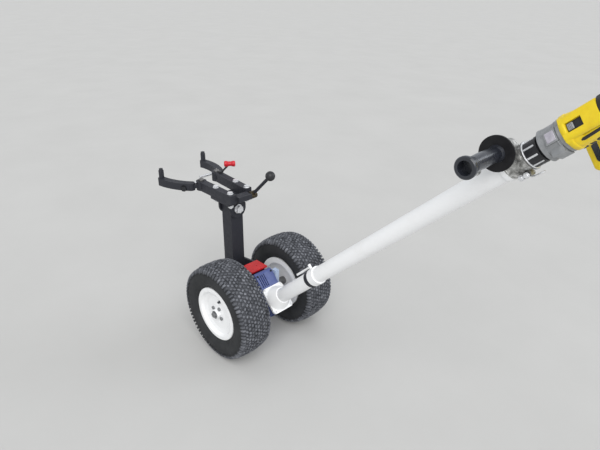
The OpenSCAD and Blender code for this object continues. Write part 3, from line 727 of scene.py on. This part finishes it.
def add_shoulder(bm, shade, angle, sign, length, reach, rng):
    """Lug over the tyre's shoulder, which reaches further down on every second one."""
    # Points: distance across, radius, share of the lug's tone, less down its sides as painted shade
    section = [(46.5, 153.5, 0.0), (47.5, 158.6, 0.6), (49.0, 159.4, 1.0), (54.5, 157.6, 1.0),
               (56.0, 156.2, 0.8), (58.9, 150.5 - reach / 2, 0.5), (58.9, 148 - reach, 0.25),
               (55.5, 147 - reach, 0.0)]
    centre = (52.0, 152.0)
    tone = rng.uniform(0.1, 0.9)
    rings = []
    for along, grow in ((-0.5, 0.86), (-0.40, 1.0), (0.40, 1.0), (0.5, 0.86)):
        a = angle + along * length / SHOULDER_R
        verts = []
        for t, r, tint in section:
            t, r = (c + (v - c) * grow for c, v in zip(centre, (t, r)))
            vert = bm.verts.new((r * math.cos(a), sign * t, r * math.sin(a)))
            vert[shade] = tone * tint
            verts.append(vert)
        rings.append(verts)
    skin(bm, rings)
    bm.faces.new(rings[0])
    bm.faces.new(rings[-1])


def tyre(name, side):
    """Tyre with its knobs, side 1 on the left and -1 on the right."""
    bm = bmesh.new()
    shade = bm.verts.layers.float.new("knob")
    revolve(bm, tyre_outline(), 2 * TREAD_PITCHES)
    turn = 2 * math.pi / TREAD_PITCHES
    rng = random.Random(7 if side > 0 else 8)
    for i in range(TREAD_PITCHES):
        for across, width, stagger, lean in TREAD_ROWS:
            for sign in ((1, -1) if across else (1,)):
                a = turn * (i + stagger + rng.uniform(-0.15, 0.15))
                length = TREAD_PITCH * KNOB_SHARE * rng.uniform(0.72, 1.14)
                off = sign * across + rng.uniform(-1.0, 1.0)
                lean_here = lean * sign + rng.uniform(-0.45, 0.45)
                width_here = width * rng.uniform(0.78, 1.06)
                add_knob(bm, shade, a, off, length, width_here, lean_here, rng.uniform(0, 1.5), rng)
        for sign in (1, -1):
            a = turn * (i + 0.5 + rng.uniform(-0.05, 0.05))
            add_shoulder(bm, shade, a, sign, TREAD_PITCH * rng.uniform(0.46, 0.66), 4.0 * (i % 2), rng)
    piece = finish_piece(bm, name, "tyre", "wheelset", wheel_frame(side), 32)
    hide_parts("tyre_left" if side > 0 else "tyre_right")


def valves():
    """Rubber valve stem in each wheel's face."""
    ahead, up, face = -13.5, 50.2, 36
    for name, sign in (("valve_left", 1), ("valve_right", -1)):
        bm = bmesh.new()
        at = on((ahead, sign * (HALF_TRACK + face), AXLE_HEIGHT + up), (0, sign, 0))
        turned(bm, [(4.6, 0), (4.8, 1.0), (6.2, 1.4), (5.6, 2.4), (3.7, 3.6), (3.5, 4.8), (4.0, 5.0),
                    (4.0, 8.2), (3.2, 9.0)], at)
        finish_piece(bm, name, "black_rubber", "wheelset", GROUND)


def wheel_beads():
    """Two pressed rings on the outer face of each white rim."""
    face = 38.0
    for name, sign in (("rim_bead_left", 1), ("rim_bead_right", -1)):
        bm = bmesh.new()
        for low, high in ((33.0, 35.0), (57.6, 59.4)):
            revolve(bm, [(low, face - 0.3), (low + 0.3, face + 0.3), ((low + high) / 2, face + 0.8),
                         (high - 0.3, face + 0.3), (high, face - 0.3)], 96)
        mirror = Matrix.Diagonal((1, sign, 1, 1))
        finish_piece(bm, name, "white_paint", "wheelset", wheel_frame(sign) @ mirror, 60)


# Steel work

def head_welds(rng):
    """Beads across both faces of the two lugs, under the head's plate."""
    bm = bmesh.new()
    reach = 27
    z = HEAD_UNDERSIDE - 0.7
    lug_outside = 9.1
    for x in (POST_REAR - lug_outside, POST_FRONT + lug_outside):
        add_bead(bm, (x, -reach, z), (x, reach, z), 2.2, rng)
    for x in (POST_REAR + 0.1, POST_FRONT - 0.1):
        add_bead(bm, (x, -reach, z), (x, reach, z), 1.8, rng)
    finish_piece(bm, "head_welds", "black_steel", "head", GROUND, 60)


def post_welds(rng):
    """Beads over the foot plates and down both their edges."""
    bm = bmesh.new()
    for sign in (1, -1):
        top, side = sign * 26.3, sign * 26
        front, rear = POST_FRONT + 0.3, POST_REAR - 0.6
        add_bead(bm, (POST_FRONT, top, 238.2), (POST_REAR + 0.5, top, 243.2), 2.2, rng)
        add_bead(bm, (front, side, 152), (front, side, 237), 2.2, rng)
        add_bead(bm, (rear, side, 242), (rear, side, 158), 2.0, rng)
    finish_piece(bm, "post_welds", "black_steel", "frame", GROUND, 60)


def post_screws():
    """Screws through the foot plates, on both sides."""
    bm = bmesh.new()
    for x, z in ((146, 196), (146, 170), (96, 214)):
        for sign in (1, -1):
            at = on((x, sign * FOOT_FACE, z), (0, sign, 0))
            add_bolt(bm, at, across=13, height=5, washer=8.5)
    finish_piece(bm, "post_screws", "zinc", "frame", GROUND)


def knuckle_caps():
    """Domed head and grease nipple over each knuckle pin."""
    bm = bmesh.new()
    for x, y in KNUCKLES:
        turned(bm, [(9.4, -0.2), (9.4, 0.6), (8.2, 1.6), (5.2, 2.1), (3.0, 2.2), (2.9, 5.0), (2.0, 5.8),
                    (1.9, 6.6), (2.3, 7.2), (1.6, 8.2)], Matrix.Translation((x, y, KNUCKLE_TOP)))
    finish_piece(bm, "knuckle_caps", "steel", "head", GROUND, 50)


def gearbox_screws():
    """Dark screws on the housing's rear face."""
    bm = bmesh.new()
    for y in (30, -30):
        add_socket_screw(bm, on((44, y, GEARBOX_REAR), REARWARD), radius=3.6, height=2.6)
    finish_piece(bm, "gearbox_screws", "black_plastic", "frame", TUBE)


def gearbox_plugs():
    """Oil plugs in the housing's front and sides."""
    bm = bmesh.new()
    add_bolt(bm, on((-20, 0, GEARBOX_FRONT), (0, 0, -1)), across=17, height=6, washer=11)
    for sign in (1, -1):
        at = on((-78, sign * GEARBOX_SIDE, 20), (0, sign, 0))
        add_bolt(bm, at, across=14, height=5, washer=9)
    finish_piece(bm, "gearbox_plugs", "zinc", "frame", TUBE)


def flange_screws():
    """Screws in the corners of the white input flange."""
    bm = bmesh.new()
    for up in (-8, -88):
        for y in (34, -34):
            add_socket_screw(bm, on((up, y, FLANGE_FACE), REARWARD), radius=4.2, height=2.4)
    finish_piece(bm, "flange_screws", "white_paint", "frame", TUBE)


def fitting_hardware():
    """Clamp screws, wire loop and pin under the tube's end."""
    bm = bmesh.new()
    clamp_up, clamp_side = -80, 13
    for along in (TUBE_END + 15, TUBE_END + 27):
        for sign in (1, -1):
            at = on((clamp_up, sign * clamp_side, along), (0, sign, 0))
            add_bolt(bm, at, across=9, height=3.6, washer=6.2)
    # Loop of wire: up from the axle's line, left, behind the tube's end
    loop = [(-86.5, 2, 28), (-88.5, 3, 35), (-89, 3.5, 42), (-89, 5, 49), (-89, 2, 54), (-89, -3, 54),
            (-89, -5, 49), (-89, -3, 43), (-88.5, -3, 35), (-86.5, -2, 28)]
    add_wire(bm, round_the_bend([(up, y, TUBE_END + along) for up, y, along in loop]), 1.5)
    turned(bm, [(4.2, 0), (4.2, 2.6), (3.6, 3.2)], on((-30, 10, TUBE_END + 40), REARWARD))
    finish_piece(bm, "fitting_hardware", "zinc", "frame", TUBE)


def tube_domed_disc():
    """Low domed grey disc on the tube, short of its end."""
    bm = bmesh.new()
    out = (0.86, 0.5, 0)
    tube_r = 24.0
    at = on((TUBE_AXIS + tube_r * out[0], tube_r * out[1], 968), out)
    turned(bm, [(7, -1.5), (7, 0.5), (5.6, 1.5), (3.2, 2.0), (1.0, 2.2)], at)
    finish_piece(bm, "tube_domed_disc", "aluminium", "frame", TUBE)


def end_rings():
    """Bright collar ahead of the chuck, and the fitting's turned lip round the tube."""
    collar = [(22, 0), (28.4, 0.2), (29.2, 0.9), (29.2, 4.0), (28.2, 4.9), (26.3, 5.0)]
    lip = [(24.2, 0), (26.2, 0.6), (26.4, 1.4), (26.4, 3.4), (25.6, 4.4), (25.0, 4.6)]
    for name, profile, along, slot_name, body in (
            ("chuck_collar", collar, CHUCK_AT - 0.6, "zinc", "drive"),
            ("fitting_lip", lip, TUBE_END - 0.6, "aluminium", "frame")):
        bm = bmesh.new()
        turned(bm, profile, Matrix.Translation((0, 0, along)), 72, False)
        finish_piece(bm, name, slot_name, body, DRILL)


def grip_ribs():
    """Raised rubber rings on the side grip."""
    bm = bmesh.new()
    for k in range(5):
        at = on((GRIP_UP, GUARD_Y + 92 + 4.2 * k, GRIP_ALONG), (0, 1, 0))
        turned(bm, [(14.2, -1.2), (15.2, -0.8), (15.5, 0), (15.2, 0.8), (14.2, 1.2)], at, 48, False)
    finish_piece(bm, "grip_ribs", "black_rubber", "frame", TUBE, 60)


# Drill

def drill_recesses():
    """Dark floors of the window on top and of the slot beside it."""
    bm = bmesh.new()
    window = on((28.55, 2, MOTOR_AT + 24.5), UPWARD, REARWARD)
    slot = on((22, 20.05, MOTOR_AT + 45), (0, 1, 0), REARWARD)
    add_pad(bm, window, 28.4, 17.4, 0.7, 1.5, 0.2)
    add_pad(bm, slot, 37.4, 4.4, 0.7, 0.8, 0.2)
    finish_piece(bm, "drill_recesses", "black_plastic", "frame", DRILL)


def drill_slide():
    """Ribbed speed slide in the window."""
    bm = bmesh.new()
    slide = on((29.2, 1.5, MOTOR_AT + 17), UPWARD, REARWARD)
    add_pad(bm, slide, 11, 13, 2.4, 1.5, 0.6)
    for k in range(4):
        add_pad(bm, slide @ Matrix.Translation((-3.6 + 2.4 * k, 0, 2.3)), 1.1, 11, 0.9, 0.4, 0.3)
    finish_piece(bm, "drill_slide", "grey_case", "frame", DRILL)


def case_top_plate():
    """Bare plate on top of the gear case."""
    bm = bmesh.new()
    add_pad(bm, on((32.95, 0.5, CASE_AT + 25), UPWARD, REARWARD), 17, 19, 0.8, 1.5, 0.4)
    finish_piece(bm, "case_top_plate", "grey_case", "frame", DRILL, material=case_plate_satin())


def drill_screws():
    """Four screws on the gear case's front and three in the yellow body."""
    bm = bmesh.new()
    ring_r, body_r = 28, 28.6
    for k in range(4):
        a = math.radians(45 + 90 * k)
        at = on((ring_r * math.cos(a), ring_r * math.sin(a), CASE_AT + 0.2), (0, 0, -1))
        add_socket_screw(bm, at, radius=2.2, height=1.4)
    for x, y, along in ((-8, 27.0, 58), (8, -27.4, 55), (-14, -25.5, 17)):
        out = Vector((x, y, 0)).normalized()
        at = on(out * body_r + Vector((0, 0, MOTOR_AT + along)), out)
        add_socket_screw(bm, at, radius=3.2, height=1.6)
    finish_piece(bm, "drill_screws", "zinc", "frame", DRILL)


def drill_bands():
    """Raised ring round the gear case."""
    bm = bmesh.new()
    at = Matrix.Translation((0, 0, CASE_AT + 31))
    turned(bm, [(31.2, 0), (32.0, 0.5), (32.0, 2.6), (31.2, 3.1)], at, 96, False)
    finish_piece(bm, "drill_bands", "grey_case", "frame", DRILL, 60)


def boss_height(degrees):
    """Share of the height of the collar's screw bosses at an angle."""
    bosses = (38, 142, 218, 322)
    return sum(math.exp(-((degrees - at + 180) % 360 - 180) ** 2 / 60) for at in bosses)


def drill_collar():
    """Raised front edge of the yellow body with its screw bosses."""
    bm = bmesh.new()
    count = 120
    rings = []
    # Columns: distance along, radius, share of a boss's height, how far a boss moves it along
    for z, r, share, reach in ((-1.6, 32.0, 0, 0), (-1.6, 33.8, 0.5, -0.4), (-0.4, 35.0, 1, -0.8),
                               (6.4, 35.2, 1, 3.0), (8.4, 34.6, 1, 3.0), (9.4, 32.6, 0, 3.0)):
        points = []
        for k in range(count):
            a = 2 * math.pi * k / count
            boss = boss_height(math.degrees(a))
            radius = r + 1.6 * share * boss
            points.append(Vector((radius * math.cos(a), radius * math.sin(a), z + reach * boss)))
        rings.append(points)
    loft(bm, rings, Matrix.Translation((0, 0, MOTOR_AT)), False)
    finish_piece(bm, "drill_collar", "yellow_plastic", "frame", DRILL, 50)


def drill_side_strip_painted_shade():
    """Black strip along the yellow body's side, on its tapering surface: partly a moulded strip, partly
    painted shade standing in for a groove.
    """
    bm = bmesh.new()
    middle = 60                 # degrees from the top
    first, last, taper_from = MOTOR_AT + 19, MOTOR_AT + 63, MOTOR_AT + 14
    sections = []
    for z in range(first, last + 1, 4):
        body = MOTOR_R - 5.5 * (z - taper_from) / 54
        half = 6.5 * min(1.0, 0.35 + (min(z - first, last - z) / 4))
        outer = [(body + 0.5, middle + half * k / 4) for k in range(-4, 5)]
        inner = [(body - 1.2, middle + half * k / 4) for k in range(4, -5, -1)]
        sections.append([Vector((r * math.cos(math.radians(a)), r * math.sin(math.radians(a)), z))
                         for r, a in outer + inner])
    loft(bm, sections)
    # Black as painted shade of a groove, and as a moulded strip.
    finish_piece(bm, "drill_side_strip_painted_shade", "black_plastic", "frame", DRILL, 50)


def drill_cap():
    """Rear cap with open vents round it."""
    bm = bmesh.new()
    count = 96
    rings = []
    # Columns: distance along, radius, 1 where the vents are cut
    for z, r, cut in ((0, 32.5, 0), (1.6, 32.5, 0), (2.2, 32.5, 1), (11.4, 32.5, 1), (12.0, 32.5, 0),
                      (14, 32.5, 0), (18, 30.6, 0), (22, 26.6, 0), (24, 22.5, 0)):
        points = []
        for k in range(count):
            a = 2 * math.pi * k / count
            vent = cut and k % 6 in (2, 3, 4) and math.cos(a) < 0.75
            radius = r - (3.6 if vent else 0)
            points.append(Vector((radius * math.cos(a), radius * math.sin(a), z)))
        rings.append(points)
    loft(bm, rings, Matrix.Translation((0, 0, CAP_AT)))
    piece = finish_piece(bm, "drill_cap_vented", "black_plastic", "frame", DRILL, 35)
    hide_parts("drill_cap")


def hang(bm, stations, steps=8, capped=True):
    """Lofts under the drill. Columns: distance down, length, width, corner, place along."""
    sections = [rounded(length, width, corner, z, steps, along)
                for z, length, width, corner, along in stations]
    loft(bm, sections, DOWN, capped)


def trigger_housing():
    """Yellow housing over the trigger."""
    bm = bmesh.new()
    middle = MOTOR_AT + 7
    hang(bm, [(27, 34, 44, 7, middle + 2), (31, 40, 46, 7, middle), (46, 40, 45, 7, middle),
              (50, 38, 43, 7, middle), (52, 34, 39, 7, middle + 0.5)])
    finish_piece(bm, "trigger_housing", "yellow_plastic", "frame", DRILL, 50)


def trigger_side_pads():
    """Dark pads on both sides of the trigger's housing."""
    bm = bmesh.new()
    for sign in (1, -1):
        out = (0, sign, 0)
        for along in (-2, 13):
            add_pad(bm, on((-40, sign * 22.2, MOTOR_AT + along), out, REARWARD), 10, 8.5, 1.4, 1.5, 0.4)
        add_pad(bm, on((-39, sign * 20.4, MOTOR_AT + 26.5), out, REARWARD), 11, 13, 2.4, 2, 0.8)
    finish_piece(bm, "trigger_side_pads", "black_plastic", "frame", DRILL)


def foot_pad():
    """Rubber pad on top of the drill's foot."""
    bm = bmesh.new()
    add_pad(bm, on((-132.8, 0, FOOT_AT), UPWARD, REARWARD), 92, 68, 2.6, 10, 1.0)
    finish_piece(bm, "foot_pad", "black_rubber", "frame", DRILL)


def leaning(z):
    """Place along the spindle of the hilt's middle, at a distance down."""
    return HILT_AT - z * HILT_LEAN


def drill_hilt():
    """Waisted hilt on its foot, with a moulded seam round the foot."""
    bm = bmesh.new()
    # Columns: distance down, length along the spindle, width, corner, shift rearward
    hilt = [(33.5, 47, 41, 15, 0), (38, 46, 40, 15, 0), (48, 43, 37, 15.5, 0), (62, 41.5, 35.5, 16, 0.5),
            (80, 42, 36, 16, 0), (98, 43.5, 37, 16, -0.5), (112, 45.5, 38.5, 16, 0), (121, 48, 41, 16, 0),
            (127, 56, 50, 18, -2), (130.5, 76, 66, 18, -5), (HILT_LENGTH, 100, 80, 14, -8)]
    hang(bm, [(z, length, width, corner, leaning(z) + shift) for z, length, width, corner, shift in hilt])
    foot = [(HILT_LENGTH, 108, 86, 9), (133.5, 113, 90, 10), (136, 115.6, 91.6, 10), (141.6, 116, 92, 10),
            (142.4, 114.8, 90.8, 10), (143.4, 114.8, 90.8, 10), (144.2, 116, 92, 10), (152.4, 116, 92, 10),
            (154, 114, 90, 9)]
    hang(bm, [(*station, FOOT_AT) for station in foot])
    piece = finish_piece(bm, "drill_hilt_moulded", "yellow_plastic", "frame", DRILL)
    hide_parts("drill_hilt")


def hilt_ribs():
    """Rubber rings round the hilt."""
    bm = bmesh.new()
    for z in range(58, 101, 6):
        above = leaning(z) + 0.4
        below = leaning(z) + 0.3
        hang(bm, [(z - 1.3, 43.3, 36.9, 16, above), (z - 0.5, 44.5, 38.1, 16, above),
                  (z + 0.5, 44.5, 38.1, 16, below), (z + 1.3, 43.3, 36.9, 16, below)], capped=False)
    finish_piece(bm, "hilt_ribs", "black_rubber", "frame", DRILL, 60)


def drill_trigger():
    """Curved trigger, and the direction switch that shows on both sides."""
    bm = bmesh.new()
    middle = MOTOR_AT + 16
    hang(bm, [(44, 12, 10, 3, middle + 4), (46, 19, 11.6, 3, middle + 1), (53, 18, 12, 3, middle),
              (60, 18.6, 12, 3, middle + 0.5), (65.5, 16, 11, 3, middle + 2), (67, 10, 8, 3, middle + 4)], 6)
    for sign in (1, -1):
        add_pad(bm, on((-37.6, sign * 18.6, MOTOR_AT + 25), (0, sign, 0), REARWARD), 15, 7, 4.0, 2.5, 1.2)
    finish_piece(bm, "drill_trigger", "black_plastic", "frame", DRILL, 45)


def battery_trim():
    """Latch buttons and a moulded step on the battery."""
    bm = bmesh.new()
    for sign in (1, -1):
        at = on((-168, sign * 45.8, FOOT_AT - 26), (0, sign, 0), REARWARD)
        add_pad(bm, at, 24, 14, 1.6, 3, 0.8)
        for k in range(4):
            add_pad(bm, at @ Matrix.Translation((-7.5 + 5 * k, 0, 1.4)), 2, 10, 0.8, 0.6, 0.3)
    add_pad(bm, on((-176, 0, FOOT_AT + 57.6), REARWARD, (0, 1, 0)), 60, 26, 1.4, 4, 0.8)
    finish_piece(bm, "battery_trim", "black_plastic", "frame", DRILL)


# Stage, light and camera

def pale_stage():
    """Plain pale floor, so wide that its edge is the horizon."""
    s = Shader("pale_floor", Specular_IOR_Level=0.15)
    s.colour(s.tones(2.2, 8, (0.525, 0.523, 0.514), (0.552, 0.550, 0.541), 0.6))
    s.link(s.remap(s.noise(9.0, 6), 0.35, 0.65, 0.72, 0.86), s.bsdf.inputs["Roughness"])
    bm = bmesh.new()
    radius = 70.0
    count = 48
    turns = [2 * math.pi * k / count for k in range(count)]
    bm.faces.new([bm.verts.new((radius * math.cos(a), radius * math.sin(a), FLOOR_Z)) for a in turns])
    mesh = bpy.data.meshes.new("floor")
    bm.to_mesh(mesh)
    bm.free()
    mesh.materials.append(s.material)
    floor = bpy.data.objects.new("floor", mesh)
    bpy.context.scene.collection.objects.link(floor)


def sky():
    """Soft even light from all round, shown as a pale wall to the camera and in gloss."""
    world = bpy.data.worlds.new("studio")
    bpy.context.scene.world = world
    world.use_nodes = True
    tree = world.node_tree
    tree.nodes.clear()

    def background(colour, strength):
        node = tree.nodes.new("ShaderNodeBackground")
        node.inputs[0].default_value = (*colour, 1)
        node.inputs[1].default_value = strength
        return node.outputs[0]

    def either(a, b):
        node = tree.nodes.new("ShaderNodeMath")
        node.operation = "MAXIMUM"
        tree.links.new(a, node.inputs[0])
        tree.links.new(b, node.inputs[1])
        return node.outputs[0]

    ray = tree.nodes.new("ShaderNodeLightPath").outputs
    seen = either(ray["Is Camera Ray"], either(ray["Is Glossy Ray"], ray["Is Transmission Ray"]))
    lit = background((0.96, 0.98, 1.0), 0.68)
    shown = background((0.70, 0.715, 0.74), 1.0)
    mix = tree.nodes.new("ShaderNodeMixShader")
    for index, output in enumerate((seen, lit, shown)):
        tree.links.new(output, mix.inputs[index])
    tree.links.new(mix.outputs[0], tree.nodes.new("ShaderNodeOutputWorld").inputs[0])


def soft_sun(name, strength, spread, way, colour):
    """Broad lamp at a great distance, shining along way."""
    light = bpy.data.lights.new(name, "SUN")
    light.energy = strength
    light.angle = math.radians(spread)
    light.color = colour
    lamp = bpy.data.objects.new(name, light)
    lamp.rotation_euler = Vector(way).to_track_quat("-Z", "Y").to_euler()
    bpy.context.scene.collection.objects.link(lamp)


# Camera fitted to the photograph, in metres and radians
CAMERA_AT = (-1.55635, 0.96893, 0.66986)
CAMERA_YAW = -0.788774
CAMERA_PITCH = 0.459850
CAMERA_ROLL = -0.016608
FOCAL_PIXELS = 508.054
IMAGE_WIDTH = 600
SENSOR_WIDTH = 36


def camera():
    """Camera at the photograph's place, with its framing."""
    up = Vector((0, 0, 1))
    level = Vector((math.cos(CAMERA_YAW), math.sin(CAMERA_YAW), 0))
    forward = level * math.cos(CAMERA_PITCH) - up * math.sin(CAMERA_PITCH)
    right = forward.cross(up).normalized()
    down = forward.cross(right)
    c, s = math.cos(CAMERA_ROLL), math.sin(CAMERA_ROLL)
    right, down = c * right + s * down, -s * right + c * down
    data = bpy.data.cameras.new("camera")
    data.sensor_width = SENSOR_WIDTH
    data.lens = SENSOR_WIDTH * FOCAL_PIXELS / IMAGE_WIDTH
    data.clip_start = 0.02
    data.clip_end = 200
    eye = bpy.data.objects.new("camera", data)
    turn = Matrix((right, -down, -forward)).transposed().to_4x4()
    eye.matrix_world = Matrix.Translation(CAMERA_AT) @ turn
    bpy.context.scene.collection.objects.link(eye)
    bpy.context.scene.camera = eye


paint_nodes()
tyre("tyre_left_tread", 1)
tyre("tyre_right_tread", -1)
weld_draws = random.Random(21)
head_welds(weld_draws)
post_welds(weld_draws)
post_screws()
knuckle_caps()
gearbox_screws()
gearbox_plugs()
flange_screws()
valves()
wheel_beads()
fitting_hardware()
tube_domed_disc()
end_rings()
grip_ribs()
drill_recesses()
drill_slide()
case_top_plate()
drill_screws()
drill_bands()
drill_collar()
drill_side_strip_painted_shade()
trigger_housing()
trigger_side_pads()
foot_pad()
drill_cap()
drill_hilt()
drill_trigger()
hilt_ribs()
battery_trim()
pale_stage()
sky()
soft_sun("key", 1.9, 48, (0.66, -0.60, -0.86), (1.0, 0.99, 0.975))
soft_sun("rear", 0.6, 36, (0.50, 0.75, -0.45), (0.93, 0.965, 1.0))
camera()
bpy.context.scene.view_settings.view_transform = "Standard"
